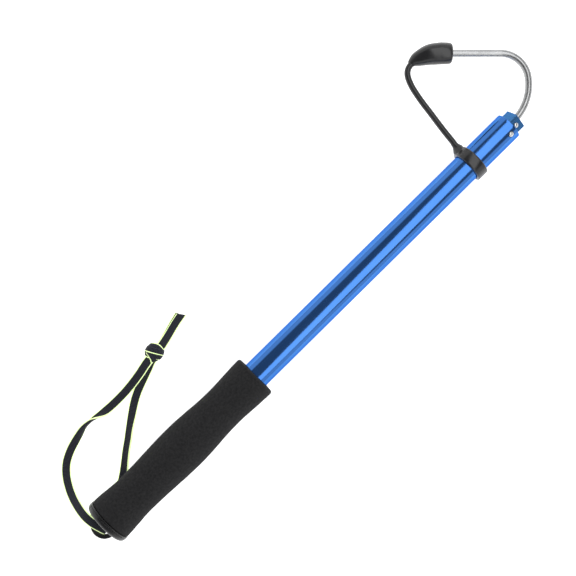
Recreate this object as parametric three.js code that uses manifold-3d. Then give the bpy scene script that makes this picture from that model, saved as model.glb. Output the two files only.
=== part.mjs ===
// Telescopic fishing gaff (boat hook), closed, lying on its side. Millimetres, +Z up.
// The pole runs along +X from the butt to the hook, and the hook opens towards +Y.
import * as THREE from 'three';
import { mergeVertices } from 'three/addons/utils/BufferGeometryUtils.js';
import Module from 'manifold-3d';

const wasm = await Module();
wasm.setup();

// ---- driving dimensions -------------------------------------------------------------------
// x is measured along the pole from the butt end of the tube, y and z from the pole's axis.
const GAP = 0.3; // between pieces that touch
const SIDES = 40; // facets round a turned piece

const TUBE_RADIUS = 11; // round outer tube
const TUBE_WALL = 1.2;
const TUBE_LENGTH = 422.6;
const BORE_RADIUS = TUBE_RADIUS - TUBE_WALL;

const POLE_SIDE = 12.7; // square inner tube
const POLE_WALL = 1.1;
const POLE_START = 26.3;
const POLE_END = 430.4;
const POLE_CORNER = 0.9; // outer corner radius
const POLE_ROLL = THREE.MathUtils.degToRad(31); // turn of the square, and of the buttons, about the axis

const BUTTON_RADIUS = 2; // snap buttons and the rivet's heads
const FRONT_BUTTON_X = 417;
const REAR_BUTTON_X = 45;
const BUTTON_TOP = 11.95; // from the axis, popped out
const BUTTON_BASE = 3.3;
const BUTTON_DOME = 1.1;
const REAR_PRESSED = 2.4; // how far the tube's wall holds the rear button in
const RIVET_X = 425.2;

const BUSH_START = 408;
const BUSH_END = 421.4;
const KEYWAY = 5.2; // slot in the bush that lets the buttons through

const CAP_RADIUS = 18.8;
const CAP_FACE_X = -6;
const CAP_ROUND = 4;
const BAIL_OUTER = 10.6;
const BAIL_INNER = 7.2;
const BAIL_HALF = 2.2; // half the bail's thickness

const WIRE_RADIUS = 2.8;
const BEND_START = 428;
const WIDE_RADIUS = 38; // the bend is a wide arc that runs into a tighter one
const TIGHT_RADIUS = 21;
const TIGHT_FROM = THREE.MathUtils.degToRad(55); // heading where the tighter arc takes over
const BEND_ANGLE = THREE.MathUtils.degToRad(135.4);
const LEG_LENGTH = 53.5; // straight leg from the bend to the point
const POINT_LENGTH = 10;

const GUARD_MOUTH = 36.7; // along the leg, from the bend's end to the guard's mouth
const GUARD_BORE = 3.1;
const GUARD_DEPTH = 18.6;

const RING_X = 382.2;
const RING_HALF = 4.6;
const RING_RADIUS = 13.5;
const STRAP_RADIUS = 2.4;

const WEB_WIDTH = 6;
const WEB_THICK = 1.2;
const KNOT_START = 105;
const KNOT_END = 117.4;

// ---- solids -------------------------------------------------------------------------------
function closed(geometry) {
  const bare = geometry.clone();
  bare.deleteAttribute('normal');
  bare.deleteAttribute('uv');
  const merged = mergeVertices(bare, 1e-4);
  const index = merged.index.array;
  const kept = [];
  for (let i = 0; i < index.length; i += 3) {
    const [a, b, c] = [index[i], index[i + 1], index[i + 2]];
    if (a !== b && b !== c && c !== a) kept.push(a, b, c);
  }
  merged.setIndex(kept);
  return merged;
}

function signedVolume(positions, triangles) {
  let sum = 0;
  const corner = [new THREE.Vector3(), new THREE.Vector3(), new THREE.Vector3()];
  for (let i = 0; i < triangles.length; i += 3) {
    corner.forEach((v, k) => v.fromArray(positions, 3 * triangles[i + k]));
    sum += corner[0].dot(corner[1].cross(corner[2]));
  }
  return sum / 6;
}

function solid(geometry) {
  const merged = closed(geometry);
  const vertProperties = Float32Array.from(merged.attributes.position.array);
  const triVerts = Uint32Array.from(merged.index.array);
  if (signedVolume(vertProperties, triVerts) < 0) {
    for (let i = 0; i < triVerts.length; i += 3) {
      const first = triVerts[i];
      triVerts[i] = triVerts[i + 1];
      triVerts[i + 1] = first;
    }
  }
  return new wasm.Manifold(new wasm.Mesh({ numProp: 3, vertProperties, triVerts }));
}

function geometryOf(body) {
  const mesh = body.getMesh();
  const geometry = new THREE.BufferGeometry();
  geometry.setAttribute('position', new THREE.BufferAttribute(mesh.vertProperties, 3));
  geometry.setIndex(new THREE.BufferAttribute(mesh.triVerts, 1));
  return geometry;
}

// A profile of [x, radius] pairs turned about the X axis; it closes on the axis or on itself.
function turned(profile, sides = SIDES) {
  const points = profile.map(([x, radius]) => new THREE.Vector2(radius, x));
  return solid(new THREE.LatheGeometry(points, sides).rotateZ(-Math.PI / 2));
}

// A closed ring of material between an inner and an outer radius, from x = start to x = end.
function sleeve(start, end, inner, outer, chamfer = 0) {
  return turned([
    [start, inner],
    [start, outer - chamfer],
    [start + chamfer, outer],
    [end - chamfer, outer],
    [end, outer - chamfer],
    [end, inner],
    [start, inner],
  ]);
}

function squareShape(side, corner) {
  const half = side / 2;
  const inner = half - corner;
  const shape = new THREE.Shape();
  shape.moveTo(half, -inner);
  shape.lineTo(half, inner);
  shape.absarc(inner, inner, corner, 0, Math.PI / 2);
  shape.lineTo(-inner, half);
  shape.absarc(-inner, inner, corner, Math.PI / 2, Math.PI);
  shape.lineTo(-half, -inner);
  shape.absarc(-inner, -inner, corner, Math.PI, 1.5 * Math.PI);
  shape.lineTo(inner, -half);
  shape.absarc(inner, -inner, corner, 1.5 * Math.PI, 2 * Math.PI);
  return shape;
}

// A square bar along X, centred on the axis.
function squareBar(side, corner, start, end) {
  const shape = squareShape(side, corner);
  const bar = new THREE.ExtrudeGeometry(shape, { depth: end - start, bevelEnabled: false, curveSegments: 3 });
  return solid(bar.rotateY(Math.PI / 2).translate(start, 0, 0));
}

// A round bar along Z from z = low to z = high, at x on the axis.
function crossBar(radius, x, low, high, sides = 20) {
  const bar = new THREE.CylinderGeometry(radius, radius, high - low, sides);
  return solid(bar.rotateX(Math.PI / 2).translate(x, 0, (low + high) / 2));
}

// A pin along Z with a domed top; profile is [z, radius] pairs.
function pinOnZ(profile, x) {
  const points = profile.map(([z, radius]) => new THREE.Vector2(radius, z));
  return solid(new THREE.LatheGeometry(points, 24).rotateX(Math.PI / 2).translate(x, 0, 0));
}

function dome(base, radius, height, steps = 4) {
  const points = [];
  for (let i = 0; i <= steps; i += 1) {
    const turn = (i / steps) * (Math.PI / 2);
    points.push([base + height * Math.sin(turn), radius * Math.cos(turn)]);
  }
  points[steps][1] = 0;
  return points;
}

// One closed skin through a row of loops that all have the same number of points.
function skinned(loops) {
  const sides = loops[0].length;
  const last = (loops.length - 1) * sides;
  const index = [];
  for (let ring = 0; ring < last; ring += sides) {
    for (let i = 0; i < sides; i += 1) {
      const next = (i + 1) % sides;
      index.push(ring + i, ring + sides + i, ring + next);
      index.push(ring + next, ring + sides + i, ring + sides + next);
    }
  }
  for (let i = 1; i < sides - 1; i += 1) {
    index.push(0, i, i + 1);
    index.push(last, last + i + 1, last + i);
  }
  const geometry = new THREE.BufferGeometry().setFromPoints(loops.flat());
  return solid(geometry.setIndex(index));
}

// Round sections of given radius along a curve in the XY plane: { x, y, heading, radius } stations.
function swept(stations, sides) {
  const loops = stations.map(({ x, y, heading, radius }) => {
    const loop = [];
    for (let i = 0; i < sides; i += 1) {
      const turn = (2 * Math.PI * i) / sides;
      const across = radius * Math.cos(turn);
      const place = [x - across * Math.sin(heading), y + across * Math.cos(heading), radius * Math.sin(turn)];
      loop.push(new THREE.Vector3(...place));
    }
    return loop;
  });
  return skinned(loops);
}

// A section carried along a smooth curve through hand-placed points.
function alongPath(points, section, steps) {
  const curve = new THREE.CatmullRomCurve3(points.map(([x, y, z]) => new THREE.Vector3(x, y, z)));
  return solid(new THREE.ExtrudeGeometry(section, { steps, bevelEnabled: false, extrudePath: curve }));
}

function roundSection(radius, sides) {
  const corners = [];
  for (let i = 0; i < sides; i += 1) {
    const turn = (2 * Math.PI * i) / sides;
    corners.push(new THREE.Vector2(radius * Math.cos(turn), radius * Math.sin(turn)));
  }
  return new THREE.Shape(corners);
}

// Half of the webbing's section as [across, up] pairs; the other half is its mirror image.
function webSection() {
  const [wide, thick, cut] = [WEB_WIDTH / 2, WEB_THICK / 2, WEB_THICK / 4];
  const half = [[wide, -thick + cut], [wide, thick - cut], [wide - cut, thick], [cut - wide, thick]];
  return [...half, ...half.map(([across, up]) => [-across, -up])];
}

// Flat webbing along a smooth curve, its width level all the way.
function webbing(points, steps) {
  const curve = new THREE.CatmullRomCurve3(points.map((point) => new THREE.Vector3(...point)));
  const steep = 0.3; // a stretch steeper than this keeps the width's direction of the one before
  let across = new THREE.Vector3(1, 0, 0);
  const loops = [];
  for (let i = 0; i <= steps; i += 1) {
    const centre = curve.getPointAt(i / steps);
    const way = curve.getTangentAt(i / steps);
    const level = new THREE.Vector3(way.y, -way.x, 0);
    if (level.length() > steep) across = level.normalize();
    const up = across.clone().cross(way).normalize();
    const corner = ([a, b]) => centre.clone().addScaledVector(across, a).addScaledVector(up, b);
    loops.push(webSection().map(corner));
  }
  return skinned(loops);
}

// ---- handle -------------------------------------------------------------------------------
// Joins [x, value] key points by half cosine waves.
function wave(keys, x) {
  const next = Math.max(1, keys.findIndex(([keyX]) => keyX >= x));
  const [startX, startValue] = keys[next - 1];
  const [endX, endValue] = keys[next];
  const share = (x - startX) / (endX - startX);
  return startValue + (endValue - startValue) * (0.5 - 0.5 * Math.cos(Math.PI * share));
}

function outerTube() {
  const lip = 0.5;
  const tube = sleeve(0, TUBE_LENGTH, BORE_RADIUS, TUBE_RADIUS, lip);
  const hole = crossBar(BUTTON_RADIUS + 0.4, FRONT_BUTTON_X, 0, TUBE_RADIUS + 2);
  return tube.subtract(hole);
}

function grip() {
  const length = 154.4;
  const keys = [[0, 18.4], [27, 16.75], [78.5, 18.4], [120, 16.35], [152, 17.65], [length, 17.65]];
  const butt = 0.8; // rounding at the butt end
  const nose = 1.8; // rounding at the hook end
  const bore = TUBE_RADIUS + GAP;
  const profile = [[0, bore], [0, wave(keys, 0) - butt], [0.25 * butt, wave(keys, 0) - 0.3 * butt]];
  const steps = 20;
  const straight = length - butt - nose;
  for (let i = 0; i <= steps; i += 1) {
    const x = butt + (straight * i) / steps;
    profile.push([x, wave(keys, x)]);
  }
  const end = wave(keys, length);
  profile.push([length - 0.3 * nose, end - 0.3 * nose], [length, end - nose], [length, bore], [0, bore]);
  return turned(profile);
}

function endCap() {
  const spigot = BORE_RADIUS - GAP;
  const spigotEnd = 14;
  const rimEnd = -GAP;
  const profile = [[CAP_FACE_X, 0]];
  const steps = 5;
  for (let i = 0; i <= steps; i += 1) {
    const turn = (i / steps) * (Math.PI / 2);
    const x = CAP_FACE_X + CAP_ROUND * (1 - Math.cos(turn));
    profile.push([x, CAP_RADIUS - CAP_ROUND * (1 - Math.sin(turn))]);
  }
  profile.push([rimEnd - 0.4, CAP_RADIUS], [rimEnd, CAP_RADIUS - 0.4]);
  profile.push([rimEnd, spigot], [spigotEnd - 1, spigot], [spigotEnd, spigot - 1], [spigotEnd, 0]);
  return turned(profile).add(bail());
}

// A half-round loop that stands out of the butt face in the XY plane, for the lanyard.
function bail() {
  const root = 1; // runs this far into the cap
  const shape = new THREE.Shape();
  shape.moveTo(root, BAIL_OUTER);
  shape.lineTo(0, BAIL_OUTER);
  shape.absarc(0, 0, BAIL_OUTER, Math.PI / 2, 1.5 * Math.PI);
  shape.lineTo(root, -BAIL_OUTER);
  shape.lineTo(root, -BAIL_INNER);
  shape.lineTo(0, -BAIL_INNER);
  shape.absarc(0, 0, BAIL_INNER, 1.5 * Math.PI, Math.PI / 2, true);
  shape.lineTo(root, BAIL_INNER);
  shape.closePath();
  const bevel = 0.6;
  const loop = new THREE.ExtrudeGeometry(shape, {
    depth: 2 * (BAIL_HALF - bevel),
    bevelThickness: bevel,
    bevelSize: bevel,
    bevelOffset: -bevel,
    bevelSegments: 1,
    curveSegments: 16,
  });
  return solid(loop.translate(CAP_FACE_X, 0, bevel - BAIL_HALF));
}

function frontBush() {
  const bush = sleeve(BUSH_START, BUSH_END, 3, BORE_RADIUS - GAP, 0.4);
  const past = 1;
  const bore = squareBar(POLE_SIDE + 2 * GAP, POLE_CORNER + GAP, BUSH_START - past, BUSH_END + past);
  const length = BUSH_END - BUSH_START + 2 * past;
  const slot = new THREE.BoxGeometry(length, KEYWAY, BORE_RADIUS).translate(
    (BUSH_START + BUSH_END) / 2,
    0,
    BORE_RADIUS / 2,
  );
  return bush.subtract(bore).subtract(solid(slot));
}

// ---- inner pole and hook ------------------------------------------------------------------
const REAR_PIN_X = 33;
const REAR_PIN_RADIUS = 1.25;
const RIVET_RADIUS = 1.2;

function innerTube() {
  const past = 1;
  const inside = POLE_SIDE - 2 * POLE_WALL;
  let tube = squareBar(POLE_SIDE, POLE_CORNER, POLE_START, POLE_END);
  tube = tube.subtract(squareBar(inside, 0.4, POLE_START - past, POLE_END + past));
  for (const x of [FRONT_BUTTON_X, REAR_BUTTON_X]) {
    tube = tube.subtract(crossBar(BUTTON_RADIUS + GAP, x, 0, POLE_SIDE));
  }
  tube = tube.subtract(crossBar(RIVET_RADIUS + GAP, RIVET_X, -POLE_SIDE, POLE_SIDE));
  return tube.subtract(rearPinBar(REAR_PIN_RADIUS + GAP, POLE_SIDE));
}

function rearPinBar(radius, half) {
  const bar = new THREE.CylinderGeometry(radius, radius, 2 * half, 16);
  return solid(bar.translate(REAR_PIN_X, 0, 0));
}

function rearGuide() {
  const headStart = 16.5;
  const headEnd = POLE_START - GAP;
  const spigotEnd = 39;
  const head = sleeve(headStart, headEnd, 0, BORE_RADIUS - GAP, 0.6);
  const spigotSide = POLE_SIDE - 2 * POLE_WALL - 2 * GAP;
  const spigot = squareBar(spigotSide, 0.6, headEnd - 1, spigotEnd);
  return head.add(spigot).subtract(rearPinBar(REAR_PIN_RADIUS + GAP, POLE_SIDE));
}

function rearPin() {
  return rearPinBar(REAR_PIN_RADIUS, POLE_SIDE / 2 - 0.1);
}

const PLUG_START = 420.8;

function hookPlug() {
  const side = POLE_SIDE - 2 * POLE_WALL - 2 * GAP;
  const plug = squareBar(side, 0.6, PLUG_START, POLE_END - 0.5);
  const bore = sleeve(PLUG_START - 1, POLE_END + 1, 0, WIRE_RADIUS + GAP);
  return plug.subtract(bore).subtract(crossBar(RIVET_RADIUS + GAP, RIVET_X, -POLE_SIDE, POLE_SIDE));
}

function bendPoint(heading) {
  const wide = Math.min(heading, TIGHT_FROM);
  const alongTight = Math.sin(heading) - Math.sin(wide);
  const acrossTight = Math.cos(wide) - Math.cos(heading);
  return {
    x: BEND_START + WIDE_RADIUS * Math.sin(wide) + TIGHT_RADIUS * alongTight,
    y: WIDE_RADIUS * (1 - Math.cos(wide)) + TIGHT_RADIUS * acrossTight,
  };
}

function legPoint(along) {
  const end = bendPoint(BEND_ANGLE);
  return { x: end.x + along * Math.cos(BEND_ANGLE), y: end.y + along * Math.sin(BEND_ANGLE) };
}

// Wire along the axis, the bend, then a straight leg that narrows to a sharp point.
function hook() {
  const stations = [{ x: PLUG_START + 0.7, y: 0, heading: 0, radius: WIRE_RADIUS }];
  const bendSteps = 27;
  for (let i = 0; i <= bendSteps; i += 1) {
    const heading = (BEND_ANGLE * i) / bendSteps;
    stations.push({ ...bendPoint(heading), heading, radius: WIRE_RADIUS });
  }
  const taper = [[POINT_LENGTH, 1], [6.5, 0.84], [3, 0.5], [1, 0.2], [0, 0.06]];
  for (const [fromTip, share] of taper) {
    const place = legPoint(LEG_LENGTH - fromTip);
    stations.push({ ...place, heading: BEND_ANGLE, radius: WIRE_RADIUS * share });
  }
  const hole = crossBar(RIVET_RADIUS + GAP, RIVET_X, -POLE_SIDE, POLE_SIDE);
  const rolledHole = hole.rotate([THREE.MathUtils.radToDeg(POLE_ROLL), 0, 0]);
  return swept(stations, 16).subtract(rolledHole);
}

function hookRivet() {
  const seat = POLE_SIDE / 2 + GAP;
  const headHeight = 1;
  const top = dome(seat, BUTTON_RADIUS, headHeight);
  const lower = [...top].reverse().map(([z, radius]) => [-z, radius]);
  const shank = [[-seat, RIVET_RADIUS], [seat, RIVET_RADIUS]];
  return pinOnZ([...lower, ...shank, ...top], RIVET_X);
}

function snapButton(x, lowered) {
  const body = [[BUTTON_BASE, 0], [BUTTON_BASE, BUTTON_RADIUS]];
  const top = dome(BUTTON_TOP - BUTTON_DOME, BUTTON_RADIUS, BUTTON_DOME);
  const profile = [...body, ...top].map(([z, radius]) => [z - lowered, radius]);
  return pinOnZ(profile, x);
}

// A V of spring strip inside the inner tube: one leg on the wall, the other under the button.
// way is -1 where the fold of the V lies towards the butt, and 1 where it lies towards the hook.
function snapSpring(x, lowered, way) {
  const thick = 0.5;
  const width = 5;
  const legTop = BUTTON_BASE - GAP - thick / 2 - lowered;
  const legBottom = GAP + thick / 2 + POLE_WALL - POLE_SIDE / 2;
  const middle = (legTop + legBottom) / 2;
  const bend = [[-2.6, legTop], [5, legTop], [18, middle + 1], [19.2, middle], [18, middle - 1]];
  bend.push([9, legBottom], [-2, legBottom]);
  const line = bend.map(([along, z]) => [x + way * along, z]);
  const outline = new THREE.Shape(bandOutline(line, thick / 2));
  const strip = new THREE.ExtrudeGeometry(outline, { depth: width, bevelEnabled: false });
  return solid(strip.rotateX(Math.PI / 2).translate(0, width / 2, 0));
}

// Both sides of a strip of even thickness along a line of [x, z] points.
function bandOutline(line, half) {
  const left = [];
  const right = [];
  line.forEach((point, i) => {
    const before = line[Math.max(0, i - 1)];
    const after = line[Math.min(line.length - 1, i + 1)];
    const way = new THREE.Vector2(after[0] - before[0], after[1] - before[1]).normalize();
    left.push(new THREE.Vector2(point[0] - half * way.y, point[1] + half * way.x));
    right.unshift(new THREE.Vector2(point[0] + half * way.y, point[1] - half * way.x));
  });
  return [...left, ...right];
}

// ---- tip guard, strap and ring ------------------------------------------------------------
const STRAP = [
  [402.2, 84.7, 0], [399.3, 84, 0], [396.1, 81.9, 0], [393.6, 78.2, 0], [391.3, 72.1, 0],
  [389.7, 64.9, 0], [388.5, 57.6, 0], [387.8, 52, 0], [387.1, 46.5, 0], [386, 38.4, 0],
  [384.9, 29.3, 0], [384.1, 20.7, 0],
];
const STRAP_MIDDLE = 7; // the point where its two halves meet

function guardStations() {
  const mouth = legPoint(GUARD_MOUTH);
  const lip = [[0, 6.7], [0.5, 7.4], [1.5, 7.9], [8.5, 8.3]];
  const stations = lip.map(([along, radius]) => {
    const place = legPoint(GUARD_MOUTH + along);
    return { ...place, heading: BEND_ANGLE, radius };
  });
  const body = [[418.2, 79.9, 7.9], [412.2, 82.9, 6.6], [407.4, 84.6, 5.1], [404.3, 85, 3.6], [402.5, 84.8, 2.7]];
  body.forEach(([x, y, radius], i) => {
    const before = i === 0 ? [stations[3].x, stations[3].y] : body[i - 1];
    const after = body[i + 1] ?? STRAP[1];
    const heading = Math.atan2(after[1] - before[1], after[0] - before[0]);
    const turned = heading < 0 ? heading + 2 * Math.PI : heading;
    stations.push({ x, y, heading: turned, radius });
  });
  return { mouth, stations };
}

function tipGuard() {
  const { mouth, stations } = guardStations();
  const bore = [[-1, 0], [-1, 5.9], [0.4, 4.9], [2.6, GUARD_BORE], [GUARD_DEPTH, GUARD_BORE], [GUARD_DEPTH, 0]];
  const points = bore.map(([along, radius]) => new THREE.Vector2(radius, along));
  const cut = new THREE.LatheGeometry(points, 20).rotateZ(BEND_ANGLE - Math.PI / 2).translate(mouth.x, mouth.y, 0);
  return swept(stations, 24).subtract(solid(cut));
}

function shortened(points, index, towards, by) {
  const start = new THREE.Vector3(...points[index]);
  const way = new THREE.Vector3(...points[towards]).sub(start).setLength(by);
  points[index] = start.add(way).toArray();
}

function guardRing() {
  const inner = TUBE_RADIUS + GAP;
  const round = 0.8;
  const ring = sleeve(RING_X - RING_HALF, RING_X + RING_HALF, inner, RING_RADIUS, round);
  const neck = [[inner + 1, 0], [inner + 1, 4.4], [14.6, 3.6], [16.8, 2.6], [20.3, STRAP_RADIUS], [20.3, 0]];
  const points = neck.map(([along, radius]) => new THREE.Vector2(radius, along));
  const lug = new THREE.LatheGeometry(points, 20).rotateZ(-0.1).translate(RING_X - 0.1, 0, 0);
  return ring.add(solid(lug)).subtract(sleeve(RING_X - 9, RING_X + 9, 0, inner));
}

// ---- lanyard ------------------------------------------------------------------------------
// Flat webbing through the bail; each strand starts in the bail's opening and ends at the knot.
const FRONT_STRAND = [
  [-9.3, -2.6, 0.2], [-9.3, -2.6, 1.6], [-9.5, -0.6, 3.1], [-10.1, 3, 3.6], [-11, 8, 3.6],
  [-12, 14.5, 1.2], [-12.1, 23, -4.6], [-11, 31.6, -10.8], [-8.4, 39.4, -15.2], [-4, 47, -17.4],
  [2.4, 53.5, -18.1], [10.9, 58.2, -18.1], [20.1, 61.2, -17.6], [29.5, 63.1, -15.4], [37.8, 63.2, -15.2],
  [47.9, 61.7, -16.6], [58.7, 60.9, -18], [71, 60.9, -18], [80, 61.6, -16.9], [86, 62.4, -16.4],
  [92, 63.4, -15.8], [99, 64.8, -14.1], [104.2, 65.6, -12.7],
];
const BACK_STRAND = [
  [-9.3, -2.6, -0.2], [-9.3, -2.6, -2.4], [-9.5, -0.8, -4.8], [-10, 3.4, -7.8], [-9.9, 8, -12],
  [-7.9, 11.4, -16.6], [-3, 12.6, -17.9], [6, 12.2, -18], [15, 12.2, -18], [22, 13.4, -18.1],
  [28, 17, -17.4], [34, 21.6, -16.4], [41.7, 27.7, -16], [49.4, 33.3, -16], [57.1, 39.2, -16.3],
  [64.8, 44.9, -17.4], [72.5, 50.3, -18.1], [78.7, 53.7, -18.1], [84.5, 56.2, -18.1], [91.7, 58.9, -18],
  [98.7, 61.4, -16.6], [104.2, 63.5, -14.6],
];
const FRONT_TAIL = [
  [118.3, 66.4, -12.7], [121.5, 67, -13.4], [127, 68.3, -15], [133.5, 70.1, -16.2], [140, 71.7, -16.4],
  [146.2, 72.9, -16.4],
];
const BACK_TAIL = [
  [118.5, 66.8, -14.6], [121.5, 67.6, -15.4], [127, 69.3, -17.2], [133.5, 71.3, -18.1], [140, 73, -18.1],
  [145.2, 74.2, -18.1],
];

function knot() {
  const [middleY, middleZ] = [66.2, -13.2];
  const length = KNOT_END - KNOT_START;
  const near = [[0, 0], [0, 3.6], [1.2, 5], [3.5, 5.5]];
  const far = near.map(([x, radius]) => [length - x, radius]).reverse();
  const profile = [...near, ...far];
  return turned(profile, 20).translate([KNOT_START, middleY, middleZ]);
}

// ---- materials ----------------------------------------------------------------------------
function material(color, roughness, metalness) {
  return new THREE.MeshStandardMaterial({ color, roughness, metalness });
}

const blueAnodised = material('#3f82dd', 0.3, 0.9);
const darkAnodised = material('#1d568f', 0.35, 0.9);
const stainless = material('#d5d8da', 0.18, 1);
const springSteel = material('#8d9298', 0.35, 1);
const blackFoam = material('#1f1f20', 0.95, 0);
const blackPlastic = material('#141415', 0.3, 0);
const nylon = material('#202124', 0.5, 0);
const rubber = material('#232324', 0.45, 0);
const web = material('#33333f', 0.85, 0);

function piece(name, body, look) {
  const mesh = new THREE.Mesh(geometryOf(body), look);
  mesh.name = name;
  return mesh;
}

// ---- assembly -----------------------------------------------------------------------------
const upperStrap = STRAP.slice(0, STRAP_MIDDLE + 1);
shortened(upperStrap, STRAP_MIDDLE, STRAP_MIDDLE - 1, GAP / 2);
const lowerStrap = STRAP.slice(STRAP_MIDDLE);
shortened(lowerStrap, 0, 1, GAP / 2);

const rolled = new THREE.Group(); // everything that is turned with the square tube
rolled.rotation.x = POLE_ROLL;
rolled.add(
  piece('outer_tube', outerTube(), blueAnodised),
  piece('front_bush', frontBush(), nylon),
  piece('inner_tube', innerTube(), darkAnodised),
  piece('rear_guide', rearGuide(), nylon),
  piece('rear_guide_pin', rearPin(), springSteel),
  piece('hook_plug', hookPlug(), nylon),
  piece('hook_rivet', hookRivet(), stainless),
  piece('front_snap_button', snapButton(FRONT_BUTTON_X, 0), stainless),
  piece('front_snap_spring', snapSpring(FRONT_BUTTON_X, 0, -1), springSteel),
  piece('rear_snap_button', snapButton(REAR_BUTTON_X, REAR_PRESSED), stainless),
  piece('rear_snap_spring', snapSpring(REAR_BUTTON_X, REAR_PRESSED, 1), springSteel),
);

const hardware = new THREE.Group();
hardware.add(
  rolled,
  piece('grip', grip(), blackFoam),
  piece('end_cap', endCap(), blackPlastic),
  piece('hook', hook(), stainless),
  piece('tip_guard', tipGuard(), rubber),
  piece('guard_strap_upper', alongPath(upperStrap, roundSection(STRAP_RADIUS, 10), 20), rubber),
  piece('guard_strap_lower', alongPath(lowerStrap, roundSection(STRAP_RADIUS, 10), 10), rubber),
  piece('guard_ring', guardRing(), rubber),
);

const lanyard = new THREE.Group();
lanyard.add(
  piece('lanyard_front_strand', webbing(FRONT_STRAND, 48), web),
  piece('lanyard_back_strand', webbing(BACK_STRAND, 44), web),
  piece('lanyard_knot', knot(), web),
  piece('lanyard_front_tail', webbing(FRONT_TAIL, 10), web),
  piece('lanyard_back_tail', webbing(BACK_TAIL, 10), web),
);

// The origin is under the middle of the hardware's box, on the surface that it lies on.
const gaff = new THREE.Group();
gaff.add(hardware, lanyard);
gaff.updateMatrixWorld(true);
const box = new THREE.Box3().setFromObject(hardware, true);
const middle = box.getCenter(new THREE.Vector3());
gaff.position.set(-middle.x, -middle.y, -box.min.z);

export default gaff;
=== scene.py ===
"""Looks for the telescopic gaff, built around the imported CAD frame.

Shapes are worked out in the pole's frame, in millimetres: x along the pole from the butt end of its
tube, y towards the side that the hook opens to, z up. at() turns such a point into the row frame.
"""
import math

import bmesh
import bpy
import numpy as np
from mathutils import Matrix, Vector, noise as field


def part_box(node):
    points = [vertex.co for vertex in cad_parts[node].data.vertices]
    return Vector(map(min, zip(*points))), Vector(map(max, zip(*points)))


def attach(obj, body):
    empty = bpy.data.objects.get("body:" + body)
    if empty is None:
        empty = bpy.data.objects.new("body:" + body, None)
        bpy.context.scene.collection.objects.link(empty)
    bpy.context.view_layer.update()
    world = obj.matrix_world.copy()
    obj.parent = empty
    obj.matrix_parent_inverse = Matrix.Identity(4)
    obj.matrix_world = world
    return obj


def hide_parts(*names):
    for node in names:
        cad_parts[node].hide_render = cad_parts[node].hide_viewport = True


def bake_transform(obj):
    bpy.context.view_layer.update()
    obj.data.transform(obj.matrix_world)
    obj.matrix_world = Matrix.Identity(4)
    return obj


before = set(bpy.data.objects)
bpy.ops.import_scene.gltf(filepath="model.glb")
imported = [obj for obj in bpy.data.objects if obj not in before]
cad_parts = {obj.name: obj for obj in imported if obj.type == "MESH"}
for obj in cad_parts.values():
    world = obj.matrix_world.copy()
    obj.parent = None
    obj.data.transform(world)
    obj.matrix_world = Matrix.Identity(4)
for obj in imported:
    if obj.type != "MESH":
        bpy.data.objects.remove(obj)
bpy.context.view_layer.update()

MM = 0.001
UP = np.array([0, 0, 1])
TUBE_LOW, TUBE_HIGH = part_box("outer_tube")
ORIGIN = np.array([TUBE_LOW.x, (TUBE_LOW.y + TUBE_HIGH.y) / 2, (TUBE_LOW.z + TUBE_HIGH.z) / 2])


def at(*place):
    """A point of the pole's frame, in millimetres, as a point of the row frame, in metres."""
    return ORIGIN + MM * np.array(place, float)


def ends(node):
    """Where a CAD node starts and ends along the pole, in millimetres."""
    low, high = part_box(node)
    return (low.x - ORIGIN[0]) / MM, (high.x - ORIGIN[0]) / MM


# ---- driving dimensions, in millimetres ---------------------------------------------------
TUBE_RADIUS = (TUBE_HIGH.y - TUBE_LOW.y) / 2 / MM
BORE_RADIUS = TUBE_RADIUS - 1.2
POLE_SIDE = 12.7
POLE_WALL = 1.1
POLE_ROLL = math.radians(31)  # turn of the square tube and its buttons about the pole's axis
BUTTON_RADIUS = 2
FRONT_BUTTON_X = 417
REAR_BUTTON_X = 45
RIVET_X = 425.2
WIRE_RADIUS = 2.8
BEND_START = 428
WIDE_RADIUS = 38  # the hook's bend is a wide arc that runs into a tighter one
TIGHT_RADIUS = 21
TIGHT_FROM = math.radians(55)  # heading where the tighter arc takes over
BEND_ANGLE = math.radians(135.4)
LEG_LENGTH = 53.5
STRAP_RADIUS = 2.4
WEB_WIDTH = 7.4
WEB_THICK = 1.2


# ---- camera -------------------------------------------------------------------------------
def make_camera():
    camera = bpy.data.objects.new("camera", bpy.data.cameras.new("camera"))
    bpy.context.scene.collection.objects.link(camera)
    camera.location = at(185.0, 29.3, 890.9)
    camera.rotation_euler = (0, 0, -math.radians(44.635))  # straight down
    camera.data.sensor_width = 36
    camera.data.lens = 73.75
    camera.data.shift_x = 0.0531
    camera.data.shift_y = 0.0542
    camera.data.clip_start = 0.05
    camera.data.clip_end = 20
    bpy.context.scene.camera = camera


# ---- mesh building ------------------------------------------------------------------------
def new_piece(name, points, faces, look, sharp=40):
    """A mesh object from points in the row frame, smooth but for edges sharper than that angle."""
    mesh = bpy.data.meshes.new(name)
    mesh.from_pydata([tuple(p) for p in points], [], faces)
    mesh.validate()
    piece = bpy.data.objects.new(name, mesh)
    bpy.context.scene.collection.objects.link(piece)
    mesh.materials.append(look)
    shade(piece, sharp)
    return piece


def shade(piece, sharp=40):
    mesh = piece.data
    mesh.polygons.foreach_set("use_smooth", [True] * len(mesh.polygons))
    mesh.set_sharp_from_angle(angle=math.radians(sharp))
    mesh.update()


def apply_modifiers(piece):
    graph = bpy.context.evaluated_depsgraph_get()
    mesh = bpy.data.meshes.new_from_object(piece.evaluated_get(graph))
    piece.modifiers.clear()
    piece.data = mesh


def combine(piece, other, operation):
    """Cuts other from piece, or joins it on, and removes other."""
    modifier = piece.modifiers.new("combine", "BOOLEAN")
    modifier.operation = operation
    modifier.solver = "EXACT"
    modifier.object = other
    apply_modifiers(piece)
    bpy.data.objects.remove(other)
    shade(piece)


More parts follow.
